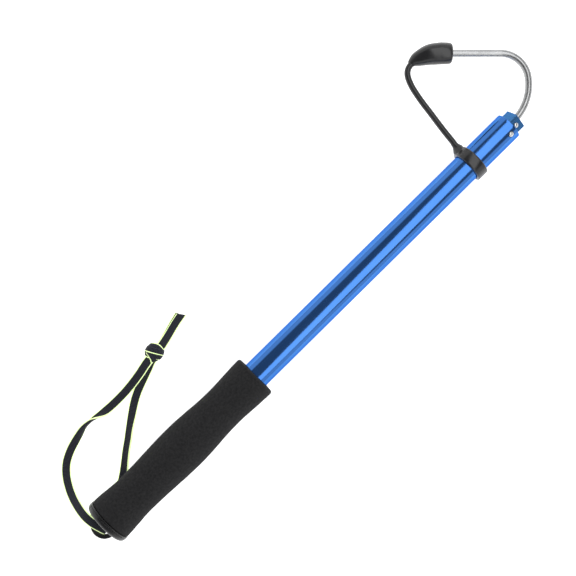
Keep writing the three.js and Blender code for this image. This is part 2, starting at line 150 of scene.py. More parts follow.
def skin(loops, closed_run=False):
    """Points and faces of a skin over loops with the same number of points each.

    A closed run joins the last loop to the first; any other is capped at both ends."""
    count = len(loops)
    sides = len(loops[0])
    faces = []
    for ring in range(count if closed_run else count - 1):
        here = ring * sides
        there = (ring + 1) % count * sides
        for i in range(sides):
            j = (i + 1) % sides
            faces.append((here + i, here + j, there + j, there + i))
    if not closed_run:
        faces.append(tuple(reversed(range(sides))))
        faces.append(tuple((count - 1) * sides + i for i in range(sides)))
    return np.concatenate(loops), faces


def rounded(outline, radii, steps=5):
    """A closed outline of (a, b) corners with each corner rounded off."""
    corners = np.array(outline, float)
    points = []
    for i, radius in enumerate(radii):
        corner, before_it, after_it = corners[i], corners[i - 1], corners[(i + 1) % len(corners)]
        if radius == 0:
            points.append(corner)
            continue
        start = corner + radius * (before_it - corner) / np.linalg.norm(before_it - corner)
        end = corner + radius * (after_it - corner) / np.linalg.norm(after_it - corner)
        for t in np.linspace(0, 1, steps + 1):
            points.append((1 - t) ** 2 * start + 2 * t * (1 - t) * corner + t * t * end)
    return np.array(points)


def rounded_box(half_wide, half_high, corner, steps=5):
    """The outline of a rectangle round the origin, with its four corners rounded off."""
    corners = [(-half_wide, -half_high), (half_wide, -half_high), (half_wide, half_high),
               (-half_wide, half_high)]
    return rounded(corners, [corner] * 4, steps)


def turned(profile, sides):
    """Loops of a closed profile of (x, radius) points turned about the pole's axis."""
    loops = []
    for turn in np.linspace(0, 2 * math.pi, sides, endpoint=False):
        loops.append([at(x, r * math.cos(turn), r * math.sin(turn)) for x, r in profile])
    return np.array(loops)


def lathe(name, profile, look, sides=160):
    """A closed ring, such as a tube, from a closed profile that stays off the axis."""
    return new_piece(name, *skin(turned(profile, sides), closed_run=True), look)


def circle(centre, radius, side, up, sides):
    """A loop of that many points round centre, in the plane of the directions side and up."""
    turns = np.linspace(0, 2 * math.pi, sides, endpoint=False)
    return [at(*(centre + radius * (math.cos(t) * side + math.sin(t) * up))) for t in turns]


def rolled(x, y, z):
    """A point given in the axes that turn with the square tube."""
    c, s = math.cos(POLE_ROLL), math.sin(POLE_ROLL)
    return at(x, c * y - s * z, s * y + c * z)


LINE_SAMPLES = 24  # per stretch between two given rows


def smooth_line(points, spacing):
    """Rows spaced evenly along a centripetal Catmull-Rom curve through the given rows.

    The first three numbers of a row are its place; any others are carried along with it."""
    rows = np.array(points, float)
    rows = np.vstack([2 * rows[0] - rows[1], rows, 2 * rows[-1] - rows[-2]])
    knots = np.sqrt(np.linalg.norm(np.diff(rows[:, :3], axis=0), axis=1))
    found = []
    for i in range(1, len(rows) - 2):
        a, b, c, d = rows[i - 1 : i + 3]
        t0, t1, t2, t3 = np.concatenate([[0], np.cumsum(knots[i - 1 : i + 2])])
        for t in np.linspace(t1, t2, LINE_SAMPLES, endpoint=False):
            ab = ((t1 - t) * a + (t - t0) * b) / (t1 - t0)
            bc = ((t2 - t) * b + (t - t1) * c) / (t2 - t1)
            cd = ((t3 - t) * c + (t - t2) * d) / (t3 - t2)
            abc = ((t2 - t) * ab + (t - t0) * bc) / (t2 - t0)
            bcd = ((t3 - t) * bc + (t - t1) * cd) / (t3 - t1)
            found.append(((t2 - t) * abc + (t - t1) * bcd) / (t2 - t1))
    found = np.array(found + [rows[-2]])
    steps = np.linalg.norm(np.diff(found[:, :3], axis=0), axis=1)
    along = np.concatenate([[0], np.cumsum(steps)])
    places = np.linspace(0, along[-1], max(2, round(along[-1] / spacing) + 1))
    return np.stack([np.interp(places, along, column) for column in found.T], axis=1)


def headings(line):
    """The direction of the line at each of its rows."""
    way = np.gradient(line[:, :3], axis=0)
    return way / np.linalg.norm(way, axis=1)[:, None]


def left_of(way):
    """The level direction to the left of a heading that is level."""
    return np.array([-way[1], way[0], 0])


def wire(name, rows, look, sides=32):
    """A round bar in the pole's XY plane through rows of (x, y, z, radius)."""
    loops = []
    for row, way in zip(rows, headings(rows)):
        loops.append(circle(row[:3], row[3], left_of(way), UP, sides))
    return new_piece(name, *skin(np.array(loops)), look)


# ---- lanyard ------------------------------------------------------------------------------
# Routes of the webbing: x, y, z and how far its width leans from level, in degrees.
# Both strands start in the bail, pass through the knot and run on into their tails.
FRONT_STRAND = [
    (-8.8, -4.2, 0.2, 0), (-8.8, -4.2, 1.6, 0), (-9.2, -1.6, 3.1, 0), (-10.1, 3, 3.6, 0),
    (-11, 8, 3.6, 0), (-12, 14.5, 1.2, 0), (-12.1, 23, -4.6, 0), (-11, 31.6, -10.8, 0),
    (-8.4, 39.4, -15.2, 0), (-4, 47, -17.4, 0), (2.4, 53.5, -17.9, 0), (10.9, 58.2, -17.6, -5),
    (20.1, 61.2, -16.6, -24), (29.5, 63.1, -15.6, -48), (34, 63.3, -15.1, -68),
    (37.8, 63.2, -15, -86), (40, 63, -15.1, -98), (42.5, 62.6, -15.3, -114),
    (47.9, 61.7, -16.3, -144), (53, 61.2, -17.4, -168), (58.7, 60.9, -18, -180),
    (71, 60.9, -18, -180), (80, 61.6, -16.9, -180), (86, 62.4, -16.4, -180),
    (92, 63.4, -15.8, -180), (99, 64.8, -14.1, -180), (104.2, 65.6, -12.7, -180),
]
BACK_STRAND = [
    (-8.8, -4.2, -0.2, 0), (-8.8, -4.2, -2.4, 0), (-9.2, -1.6, -4.8, 0), (-10, 3.4, -7.8, 0),
    (-9.9, 8, -12, 0), (-7.9, 11.4, -16.6, 0), (-3, 12.6, -17.9, 0), (6, 12.2, -18, 0),
    (15, 12.2, -18, 0), (22, 13.4, -17.7, 4), (28, 17, -17.1, 14), (34, 21.6, -16.6, 24),
    (41.7, 27.7, -16.4, 27), (49.4, 33.3, -16.4, 27), (57.1, 39.2, -16.5, 25), (64.8, 44.9, -17.3, 12),
    (72.5, 50.3, -18.1, 0), (78.7, 53.7, -18.1, 0), (84.5, 56.2, -18.1, 0), (91.7, 58.9, -18, 0),
    (98.7, 61.4, -16.6, 0), (104.2, 63.5, -14.6, 0),
]
FRONT_TAIL = [
    (118.3, 66.4, -12.7, -180), (121.5, 67, -13.4, -174), (127, 68.3, -15, -169),
    (133.5, 70.1, -16.2, -167), (140, 71.7, -16.4, -168), (146.2, 72.9, -16.4, -170),
]
BACK_TAIL = [
    (118.5, 66.8, -14.6, 0), (121.5, 67.6, -15.4, 0), (127, 69.3, -17.2, 0), (133.5, 71.3, -18.1, 0),
    (140, 73, -18.1, 0), (145.2, 74.2, -18.1, 0),
]
CURL = math.radians(96)  # how far the webbing's section bends where it stands on edge
RIB_PITCH = 1.0
RIB_HEIGHT = 0.12
RIB_SHARE = 0.85  # the share of the width that is ribbed
WEB_STEP = 0.25  # between two sections
CUT_RUN = 6  # the last stretch, over which a slanted cut builds up
GATHER_RUN = 14  # the first stretch, over which the webbing comes back to its full width
TABLE_GAP = 0.01  # that the webbing keeps above the table


def level_across(way, last):
    """The level direction across a heading; a steep stretch keeps the one before."""
    level = np.array([way[1], -way[0], 0])
    if np.linalg.norm(level) < 0.3:
        return last
    return level / np.linalg.norm(level)


def web_section():
    """(across, up) corners of the webbing's section as shares of half its width and thickness."""
    flat = [(a, 1.0) for a in np.linspace(-0.8, 0.8, 9)]
    bead = [(0.88, 1.12), (0.96, 0.8), (1.0, 0.0), (0.96, -0.8), (0.88, -1.12)]
    right = flat + bead
    return np.array(right + [(-a, -u) for a, u in right])


def chord(angle):
    """An arc's chord as a share of the arc's own length; angle is half of what the arc turns by."""
    return math.sin(angle) / angle if abs(angle) > 5e-5 else 1


def mark_webbing(piece, runs, shares):
    """Gives each vertex its distance along the webbing and its place across it, for the look."""
    for label, values in (("run", runs), ("share", shares)):
        piece.data.attributes.new(label, "FLOAT", "POINT").data.foreach_set("value", values)


def ribbon(name, points, look, across_of=level_across, cut=0, gathered=0.0, edges=(-1, 1)):
    """Flat ribbed webbing along (x, y, z, lean) points. Gives the piece and its centreline.

    cut slants the far end: how much longer one edge is than the other. gathered is the share of its
    width that it loses where it starts. edges says which part of the width shows, from -1 to 1."""
    line = smooth_line(points, WEB_STEP)
    section = web_section()
    full = WEB_WIDTH * (edges[1] - edges[0]) / 2
    last = np.array([1.0, 0, 0])
    loops, runs, shares = [], [], []
    for i, (row, way) in enumerate(zip(line, headings(line))):
        last = across_of(way, last)
        up = np.cross(last, way)
        up /= np.linalg.norm(up)
        side = np.cross(way, up)
        lean = math.radians(row[3])
        curl = CURL * math.sin(lean) * abs(math.sin(lean))
        run = i * WEB_STEP
        rib = RIB_HEIGHT * math.sin(2 * math.pi * run / RIB_PITCH)
        far = max(0.0, 1 - (len(line) - 1 - i) * WEB_STEP / CUT_RUN) * cut
        width = full * (1 - gathered * max(0.0, 1 - run / GATHER_RUN))
        loop = []
        for a, u in section:
            high = u * (WEB_THICK / 2 + rib * (abs(a) < RIB_SHARE))
            middle_lean = lean + curl * a / 2
            reach = a * width / 2 * chord(curl * a / 2)
            here = lean + curl * a
            out = reach * (math.cos(middle_lean) * side + math.sin(middle_lean) * up)
            raised = high * (math.cos(here) * up - math.sin(here) * side)
            place = at(*(row[:3] + out + raised + far * (a * 0.5) * way))
            place[2] = max(place[2], TABLE_GAP * MM)  # webbing is soft, so it lies flat on the table
            loop.append(place)
            runs.append(run)
            shares.append(edges[0] + (edges[1] - edges[0]) * (a + 1) / 2)
        loops.append(loop)
    piece = new_piece(name, *skin(np.array(loops)), look, sharp=75)
    mark_webbing(piece, runs, shares)
    return piece, [at(*row[:3]) for row in line]


# ---- knot ---------------------------------------------------------------------------------
KNOT = np.array([111.6, 67.0, -12.8])  # its middle
KNOT_HEADING = math.radians(15)  # the strands' heading there, from the pole's
KNOT_WAY = np.array([math.cos(KNOT_HEADING), math.sin(KNOT_HEADING), 0])
CORE_HALF = (6.2, 5.3, 4.3)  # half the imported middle's length, width and height


def knot_place(along, across, up):
    """A point of the knot in its own axes: along the strands, level across them, and up."""
    c, s = math.cos(KNOT_HEADING), math.sin(KNOT_HEADING)
    return KNOT + np.array([c * along - s * across, s * along + c * across, up])


def knot_band(name, middle, tilt, half_width, half_height, look, edges=(-1, 1), bow=0.0):
    """One turn of webbing round the knot.

    middle is where it crosses the knot's axis, tilt its slant in degrees, and bow how far its sides
    run on along the knot."""
    points = []
    for turn in np.linspace(0, 2 * math.pi, 25):
        across = half_width * math.sin(turn)
        along = middle + math.tan(math.radians(tilt)) * across + bow * (across / half_width) ** 2
        points.append((*knot_place(along, across, half_height * math.cos(turn)), 0))

    def along_knot(way, last):
        return KNOT_WAY

    return ribbon(name, points, look, across_of=along_knot, edges=edges)[0]


def knot_core(look):
    """The strands packed inside the turns: a rounded, slightly lumpy body."""
    length, width, height = CORE_HALF
    loops, runs, shares = [], [], []
    for along in np.linspace(-1, 1, 41):
        girth = math.sqrt(max(0.0, 1 - abs(along) ** 3.2)) + 0.02
        loop = []
        for turn in np.linspace(0, 2 * math.pi, 64, endpoint=False):
            fold = 1 + 0.045 * math.sin(3 * turn + 3.5 * along)
            across = width * girth * fold * math.cos(turn)
            up = height * girth * fold * math.sin(turn)
            loop.append(at(*knot_place(length * along, across, up)))
            runs.append(length * along + 1.3 * math.sin(turn))
            shares.append(0.4 * math.sin(2 * turn))
        loops.append(loop)
    core = new_piece("lanyard_knot_turns", *skin(np.array(loops)), look, sharp=80)
    mark_webbing(core, runs, shares)
    return core


def pull_tight(knot):
    """Draws the turns in towards the knot's two ends, where their girth halves, so that it is round."""
    half_length, end = 7.4, 8
    middle = at(*KNOT)
    for vertex in knot.data.vertices:
        place = np.array(vertex.co) - middle
        along = float(place @ KNOT_WAY)
        share = 1 - 0.5 * (min(abs(along) / MM, end) / half_length) ** 2.4
        vertex.co = middle + along * KNOT_WAY + (place - along * KNOT_WAY) * share


def make_knot(look):
    """An overhand knot pulled tight: turns of webbing that cross over a packed middle."""
    core = knot_core(look)
    turns = [
        knot_band("turn_right", 4.3, -2, 5.9, 4.4, look, edges=(-0.3, 1), bow=-1.6),
        knot_band("turn_left", -3.6, 24, 6.2, 4.2, look, edges=(-1, 0.6)),
        knot_band("turn_over", 0.7, -16, 6.5, 4.9, look, edges=(-1, 0.2)),
        knot_band("turn_top", -3.4, -12, 6.6, 3.7, look, edges=(-1, 0.5), bow=0.8),
    ]
    with bpy.context.temp_override(active_object=core, selected_editable_objects=[core] + turns):
        bpy.ops.object.join()
    pull_tight(core)
    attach(core, "handle")
    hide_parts("lanyard_knot")
    return core


def make_lanyard(look):
    knot = make_knot(look)
    for name, route, slant in (("lanyard_front", FRONT_STRAND + FRONT_TAIL, -3.4),
                               ("lanyard_back", BACK_STRAND + BACK_TAIL, 1.0)):
        cord, path = ribbon(name, route, look, cut=slant, gathered=0.4)
        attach(cord, "handle")
        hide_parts(name + "_strand", name + "_tail")


# ---- materials ----------------------------------------------------------------------------
def new_look(name, colour, roughness, **sockets):
    """A material whose shader has these constant values; the rest is added by its own function."""
    look = bpy.data.materials.new(name)
    look.use_nodes = True
    tree = look.node_tree
    shader = tree.nodes["Principled BSDF"]
    shader.inputs["Base Color"].default_value = (*colour, 1)
    shader.inputs["Roughness"].default_value = roughness
    for socket, value in sockets.items():
        shader.inputs[socket.replace("_", " ")].default_value = value
    return look, tree, shader


def object_place(tree, stretch=(1, 1, 1)):
    """The point's place on its own piece, in millimetres over stretch."""
    place = tree.nodes.new("ShaderNodeTexCoord")
    scale = tree.nodes.new("ShaderNodeVectorMath")
    scale.operation = "MULTIPLY"
    scale.inputs[1].default_value = [1 / (MM * s) for s in stretch]
    tree.links.new(place.outputs["Object"], scale.inputs[0])
    return scale.outputs[0]


def noise(tree, place, scale=1.0, detail=3.0, rough=0.5):
    """Cloudy noise, about 0 to 1."""
    node = tree.nodes.new("ShaderNodeTexNoise")
    node.inputs["Scale"].default_value = scale
    node.inputs["Detail"].default_value = detail
    node.inputs["Roughness"].default_value = rough
    tree.links.new(place, node.inputs["Vector"])
    return node.outputs["Fac"]


def cells(tree, place, scale=1.0):
    """Distance from the middle of the nearest of many scattered cells."""
    node = tree.nodes.new("ShaderNodeTexVoronoi")
    node.feature = "SMOOTH_F1"
    node.inputs["Scale"].default_value = scale
    tree.links.new(place, node.inputs["Vector"])
    return node.outputs["Distance"]


def ramp(tree, value, low, high, start, end):
    """value mapped from low..high to start..end, clamped."""
    node = tree.nodes.new("ShaderNodeMapRange")
    for socket, number in (("From Min", low), ("From Max", high), ("To Min", start), ("To Max", end)):
        node.inputs[socket].default_value = number
    tree.links.new(value, node.inputs["Value"])
    return node.outputs["Result"]


def mixed(tree, share, first, second):
    """Two colours, each an (r, g, b) or a socket, mixed by share."""
    node = tree.nodes.new("ShaderNodeMix")
    node.data_type = "RGBA"
    tree.links.new(share, node.inputs["Factor"])
    for socket, colour in ((node.inputs[6], first), (node.inputs[7], second)):
        if isinstance(colour, tuple):
            socket.default_value = (*colour, 1)
        else:
            tree.links.new(colour, socket)
    return node.outputs[2]


def calc(tree, operation, *values):
    """A sum on one, two or three values, each a number or a socket."""
    node = tree.nodes.new("ShaderNodeMath")
    node.operation = operation
    for socket, value in zip(node.inputs, values):
        if isinstance(value, (int, float)):
            socket.default_value = value
        else:
            tree.links.new(value, socket)
    return node.outputs[0]


def bumped(tree, shader, height, depth):
    """height, about 0 to 1, as a bump of that depth in millimetres."""
    node = tree.nodes.new("ShaderNodeBump")
    node.inputs["Strength"].default_value = 1
    node.inputs["Distance"].default_value = depth * MM
    tree.links.new(height, node.inputs["Height"])
    tree.links.new(node.outputs["Normal"], shader.inputs["Normal"])


def anodised(name, colour, worn, roughness, coat, edge):
    """Drawn and anodised aluminium: fine lines along the tube and a faint unevenness of the dye.

    edge tints the metal where it is seen at a slant."""
    look, tree, shader = new_look(name, colour, roughness, Metallic=0.9, Coat_Weight=coat,
                                  Coat_Roughness=0.08, Specular_Tint=edge)
    lines = noise(tree, object_place(tree, (40, 0.35, 0.35)), detail=4)
    clouds = noise(tree, object_place(tree, (30, 6, 6)), detail=2)
    both = calc(tree, "ADD", calc(tree, "MULTIPLY", lines, 0.55), calc(tree, "MULTIPLY", clouds, 0.45))
    base = mixed(tree, ramp(tree, both, 0.35, 0.65, 0, 1), colour, worn)
    rough = ramp(tree, lines, 0.3, 0.7, roughness * 0.8, roughness * 1.25)
    tree.links.new(base, shader.inputs["Base Color"])
    tree.links.new(rough, shader.inputs["Roughness"])
    bumped(tree, shader, lines, 0.006)
    return look


def polished_steel(name, colour, roughness, run):
    """Steel with fine polishing lines that run along run, a stretch in millimetres per axis."""
    look, tree, shader = new_look(name, colour, roughness, Metallic=1.0)
    lines = noise(tree, object_place(tree, run), detail=5, rough=0.6)
    smears = noise(tree, object_place(tree, (7, 7, 7)), detail=2)
    dark = tuple(0.86 * c for c in colour)
    base = mixed(tree, ramp(tree, smears, 0.35, 0.65, 0, 1), colour, dark)
    rough = ramp(tree, lines, 0.3, 0.7, roughness * 0.7, roughness * 1.5)
    tree.links.new(base, shader.inputs["Base Color"])
    tree.links.new(rough, shader.inputs["Roughness"])
    bumped(tree, shader, lines, 0.008)
    return look


def foam():
    """Closed-cell foam: matt, with fine skinned-over cells and a few larger pits."""
    look, tree, shader = new_look("foam", (0.02, 0.02, 0.021), 0.95, Specular_IOR_Level=0.12)
    place = object_place(tree)
    fine = cells(tree, place, 1.9)
    coarse = noise(tree, place, 0.55, 4, 0.6)
    tone = ramp(tree, coarse, 0.35, 0.65, 0, 1)
    base = mixed(tree, tone, (0.019, 0.019, 0.020), (0.030, 0.030, 0.031))
    rough = ramp(tree, fine, 0.1, 0.7, 0.98, 0.8)
    tree.links.new(base, shader.inputs["Base Color"])
    tree.links.new(rough, shader.inputs["Roughness"])
    bumped(tree, shader, calc(tree, "ADD", fine, coarse), 0.11)
    return look


def moulded(name, colour, roughness, grain, depth, **sockets):
    """Moulded plastic or rubber: a fine grain and slow changes of gloss."""
    look, tree, shader = new_look(name, colour, roughness, **sockets)
    place = object_place(tree)
    fine = noise(tree, place, grain, 3, 0.6)
    slow = noise(tree, place, 0.12, 3, 0.5)
    pale = tuple(1.5 * c + 0.004 for c in colour)
    base = mixed(tree, ramp(tree, slow, 0.4, 0.7, 0, 0.6), colour, pale)
    rough = ramp(tree, slow, 0.3, 0.7, roughness * 0.8, roughness * 1.3)
    tree.links.new(base, shader.inputs["Base Color"])
    tree.links.new(rough, shader.inputs["Roughness"])
    bumped(tree, shader, fine, depth)
    return look


def attribute(tree, label):
    """A value that a mesh carries on its vertices."""
    node = tree.nodes.new("ShaderNodeAttribute")
    node.attribute_name = label
    return node.outputs["Fac"]


def webbing_look():
    """Ribbed dark webbing with bright selvedges, from the marks that mark_webbing leaves. The selvedges also
    get a painted glow: an emission that keeps them bright whatever the lamps do.
    """
    # the emission strength here is a painted glow, which only the selvedges use
    look, tree, shader = new_look("webbing", (0.03, 0.032, 0.048), 0.85, Sheen_Weight=0.2,
                                  Specular_IOR_Level=0.2, Emission_Strength=0.75)
    run = attribute(tree, "run")
    share = attribute(tree, "share")
    turn = calc(tree, "MULTIPLY", run, 2 * math.pi / RIB_PITCH)
    rib = calc(tree, "MULTIPLY_ADD", calc(tree, "SINE", turn), 0.5, 0.5)
    thread = calc(tree, "SINE", calc(tree, "ADD", calc(tree, "MULTIPLY", share, 28), turn))
    threads = calc(tree, "MULTIPLY_ADD", thread, 0.5, 0.5)
    fuzz = noise(tree, object_place(tree), 4, 4, 0.6)
    # painted shade and highlight: the ribs' grooves are painted darker and their crests lighter, in step
    # with the rib height
    dark = mixed(tree, rib, (0.008, 0.009, 0.014), (0.050, 0.053, 0.072))
    dark = mixed(tree, ramp(tree, threads, 0, 1, 0, 0.5), dark, (0.020, 0.021, 0.030))
    bright = mixed(tree, ramp(tree, fuzz, 0.35, 0.65, 0, 1), (0.66, 0.88, 0.30), (0.95, 1.0, 0.62))
    edge = ramp(tree, calc(tree, "ABSOLUTE", share), 0.79, 0.83, 0, 1)
    tree.links.new(mixed(tree, edge, dark, bright), shader.inputs["Base Color"])
    # painted glow: the selvedges emit a yellow-green light of their own, on top of their colour
    tree.links.new(mixed(tree, edge, (0.0, 0.0, 0.0), (0.70, 0.90, 0.42)), shader.inputs["Emission Color"])
    tree.links.new(ramp(tree, fuzz, 0.3, 0.7, 0.75, 0.95), shader.inputs["Roughness"])
    bumped(tree, shader, calc(tree, "ADD", threads, fuzz), 0.07)
    return look


def make_looks():
    """Every piece's material, under its slot's name."""
    return {
        "tube_blue": anodised("tube_blue", (0.045, 0.165, 0.50), (0.058, 0.19, 0.55), 0.12, 0.15,
                              (0.14, 0.34, 0.72, 1)),
        "pole_blue": anodised("pole_blue", (0.028, 0.12, 0.30), (0.048, 0.15, 0.34), 0.25, 0.2,
                              (0.10, 0.30, 0.60, 1)),
        "hook_steel": polished_steel("hook_steel", (0.40, 0.405, 0.41), 0.24, (2, 2, 0.3)),
        "stainless": polished_steel("stainless", (0.60, 0.61, 0.62), 0.14, (0.8, 0.8, 0.8)),
        "spring_steel": polished_steel("spring_steel", (0.40, 0.41, 0.43), 0.3, (20, 0.3, 0.3)),
        "nylon": moulded("nylon", (0.012, 0.012, 0.013), 0.5, 3.0, 0.02),
        "cap_plastic": moulded("cap_plastic", (0.012, 0.012, 0.013), 0.27, 1.2, 0.006,
                               Specular_IOR_Level=0.4),
        "foam": foam(),
        "guard_rubber": moulded("guard_rubber", (0.015, 0.015, 0.016), 0.2, 2.5, 0.01,
                                Specular_IOR_Level=0.5),
        "webbing": webbing_look(),
    }


# ---- handle -------------------------------------------------------------------------------
GRIP_BORE = TUBE_RADIUS + 0.3
GRIP_BUTT_ROUND = 0.8
GRIP_NOSE_ROUND = 1.9
# x and radius at the grip's crests and waists
GRIP_WAVE = [(0, 18.4), (27, 16.75), (78.5, 18.4), (120, 16.35), (152, 17.65), (154.4, 17.65)]
CAP_FACE_X = -6.0
CAP_RADIUS = 18.8
PLUG_RADIUS = 9.5
PLUG_END_X = 14
BAIL_RADIUS = 8.9  # to the middle of its section
BAIL_DEEP = 3.4
BAIL_THICK = 4.4
BAIL_CORNER = 0.9
BAIL_SINK = 0.12  # angle by which its ends run on into the cap


def wave(keys, x):
    """Joins (x, value) keys by half cosine waves."""
    for (start_x, start), (end_x, end) in zip(keys, keys[1:]):
        if x <= end_x:
            share = (x - start_x) / (end_x - start_x)
            return start + (end - start) * (0.5 - 0.5 * math.cos(math.pi * share))
    return keys[-1][1]


def cylinder(name, radius, start, end, way, look, sides=48, centre=(0, 0, 0)):
    """A plain cutter from start to end along way, measured from centre."""
    way = np.array(way, float) / np.linalg.norm(way)
    side = np.cross(way, UP if abs(way[2]) < 0.9 else [1, 0, 0])
    side /= np.linalg.norm(side)
    up = np.cross(way, side)
    loops = [circle(np.array(centre) + place * way, radius, side, up, sides) for place in (start, end)]
    return new_piece(name, *skin(np.array(loops)), look)


BUTTON_WAY = np.array([0, -math.sin(POLE_ROLL), math.cos(POLE_ROLL)])
PIN_WAY = np.array([0, math.cos(POLE_ROLL), math.sin(POLE_ROLL)])


def make_outer_tube(look):
    """Round tube with eased rims and the front button's hole, where its wall has extra rows of faces."""
    start, end = ends("outer_tube")
    outline = [(start, BORE_RADIUS), (start, TUBE_RADIUS)]
    outline += [(x, TUBE_RADIUS) for x in np.linspace(FRONT_BUTTON_X - 3.5, FRONT_BUTTON_X + 3.5, 8)]
    outline += [(end, TUBE_RADIUS), (end, BORE_RADIUS)]
    radii = [0.3, 0.5] + [0] * 8 + [0.5, 0.3]
    tube = lathe("outer_tube_shell", rounded(outline, radii), look, sides=192)
    hole = cylinder("hole", BUTTON_RADIUS + 0.4, 0, 2 * TUBE_RADIUS, BUTTON_WAY, look,
                    centre=(FRONT_BUTTON_X, 0, 0))
    combine(tube, hole, "DIFFERENCE")
    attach(tube, "handle")
    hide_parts("outer_tube")


def make_grip(look):
    """The foam sleeve, turned, with a faint unevenness where the foam was ground to shape."""
    start, end = ends("grip")
    butt, nose = wave(GRIP_WAVE, 0), wave(GRIP_WAVE, end)
    profile = [(start, GRIP_BORE)]
    for turn in np.linspace(0, math.pi / 2, 6)[::-1]:
        profile.append((start + GRIP_BUTT_ROUND * (1 - math.sin(turn)),
                        butt - GRIP_BUTT_ROUND * (1 - math.cos(turn))))
    for x in np.linspace(start + GRIP_BUTT_ROUND + 0.8, end - GRIP_NOSE_ROUND - 0.4, 190):
        profile.append((x, wave(GRIP_WAVE, x)))
    for turn in np.linspace(0, math.pi / 2, 8):
        profile.append((end - GRIP_NOSE_ROUND * (1 - math.sin(turn)),
                        nose - GRIP_NOSE_ROUND * (1 - math.cos(turn))))
    profile.append((end, GRIP_BORE))
    piece = lathe("grip_foam", profile, look, sides=220)
    uneven(piece, 0.12, 7.0)
    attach(piece, "handle")
    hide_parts("grip")


def uneven(piece, depth, size):
    """Moves the surface in and out by a smooth noise of that depth and size, in millimetres."""
    mesh = piece.data
    places = [vertex.co.copy() for vertex in mesh.vertices]
    normals = [vertex.normal.copy() for vertex in mesh.vertices]
    moved = [p + n * depth * MM * field.noise(p / (size * MM)) for p, n in zip(places, normals)]
    mesh.vertices.foreach_set("co", [number for place in moved for number in place])
    mesh.update()


def make_end_cap(look):
    """Turned cap with a round rim, a groove next to the foam and a plug in the tube, and the bail."""
    rim, axis = -0.3, 0.01
    groove_floor = CAP_RADIUS - 0.45
    profile = [(CAP_FACE_X, axis), (CAP_FACE_X, CAP_RADIUS),
               (-1.9, CAP_RADIUS), (-1.65, groove_floor), (-1.35, groove_floor), (-1.1, CAP_RADIUS),
               (rim, CAP_RADIUS), (rim, PLUG_RADIUS), (PLUG_END_X, PLUG_RADIUS), (PLUG_END_X, axis)]
    radii = [0, 4.0, 0.15, 0.1, 0.1, 0.15, 0.3, 0, 0.9, 0]
    cap = lathe("end_cap_moulding", rounded(profile, radii, 10), look)
    close_poles(cap)
    combine(cap, make_bail(look), "UNION")
    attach(cap, "handle")
    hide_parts("end_cap")


def close_poles(piece):
    """Merges the tiny rings that a turned profile leaves round the axis."""
    work = bmesh.new()
    work.from_mesh(piece.data)
    bmesh.ops.remove_doubles(work, verts=work.verts, dist=0.02 * MM)
    bmesh.ops.recalc_face_normals(work, faces=work.faces)
    work.to_mesh(piece.data)
    work.free()
    shade(piece)


def make_bail(look):
    """A half-round loop; its ends flare a little where they run into the cap."""
    loops = []
    for turn in np.linspace(-BAIL_SINK, math.pi + BAIL_SINK, 72):
        way = np.array([-math.sin(turn), math.cos(turn), 0])
        near = max(0.0, 1 - min(abs(turn), abs(math.pi - turn)) / 0.3)
        deep = BAIL_DEEP / 2 + 0.5 * near * near
        thick = BAIL_THICK / 2 + 0.4 * near * near
        centre = np.array([CAP_FACE_X, 0, 0]) + BAIL_RADIUS * way
        loops.append([at(*(centre + a * way + b * UP)) for a, b in rounded_box(deep, thick, BAIL_CORNER)])
    return new_piece("bail", *skin(np.array(loops)), look)


# ---- inner pole ---------------------------------------------------------------------------
BUTTON_BASE = 3.3  # heights above the pole's axis, with the button out
BUTTON_TOP = 11.95
REAR_LOWERED = 2.4  # how far the tube's wall keeps the rear button pressed in
SPRING_THICK = 0.5
SPRING_WIDTH = 5.0
PIN_X = 33
PIN_HOLE_RADIUS = 1.55
RIVET_HOLE_RADIUS = 1.5


def square_loop(side, corner, x):
    return [rolled(x, y, z) for y, z in rounded_box(side / 2, side / 2, corner, 6)]


def make_inner_tube(look):
    """Square tube with rounded corners and eased ends, and its holes for buttons, rivet and pin."""
    start, end = ends("inner_tube")
    inside = POLE_SIDE - 2 * POLE_WALL
    ease = 0.25
    sections = [(start, inside, 0.4), (start, POLE_SIDE - 2 * ease, 0.8), (start + ease, POLE_SIDE, 1.0)]
    sections += [(x, POLE_SIDE, 1.0) for x in (REAR_BUTTON_X - 4, REAR_BUTTON_X + 4, FRONT_BUTTON_X - 4)]
    sections += [(end - ease, POLE_SIDE, 1.0), (end, POLE_SIDE - 2 * ease, 0.8), (end, inside, 0.4)]
    loops = [square_loop(side, corner, x) for x, side, corner in sections]
    tube = new_piece("inner_tube_shell", *skin(np.array(loops), closed_run=True), look)
    for x in (FRONT_BUTTON_X, REAR_BUTTON_X):
        hole = cylinder("hole", BUTTON_RADIUS + 0.3, 0, POLE_SIDE, BUTTON_WAY, look, centre=(x, 0, 0))
        combine(tube, hole, "DIFFERENCE")
    for x, way, radius in ((RIVET_X, BUTTON_WAY, RIVET_HOLE_RADIUS), (PIN_X, PIN_WAY, PIN_HOLE_RADIUS)):
        hole = cylinder("hole", radius, -POLE_SIDE, POLE_SIDE, way, look, centre=(x, 0, 0))
        combine(tube, hole, "DIFFERENCE")
    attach(tube, "inner_pole")
    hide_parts("inner_tube")


def domed(name, profile, x, look, body, node):
    """A pin along the buttons' axis from (height, radius) points that start and end on the axis."""
    loops = []
    for turn in np.linspace(0, 2 * math.pi, 64, endpoint=False):
        loops.append([rolled(x + r * math.cos(turn), r * math.sin(turn), z) for z, r in profile])
    pin = new_piece(name, *skin(np.array(loops), closed_run=True), look)
    close_poles(pin)
    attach(pin, body)
    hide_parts(node)


def dome(base, radius, height):
    """(height, radius) points of a dome's side, from its foot to its top."""
    turns = np.linspace(0, math.pi / 2, 13)
    return [(base + height * math.sin(t), max(0.001, radius * math.cos(t))) for t in turns]


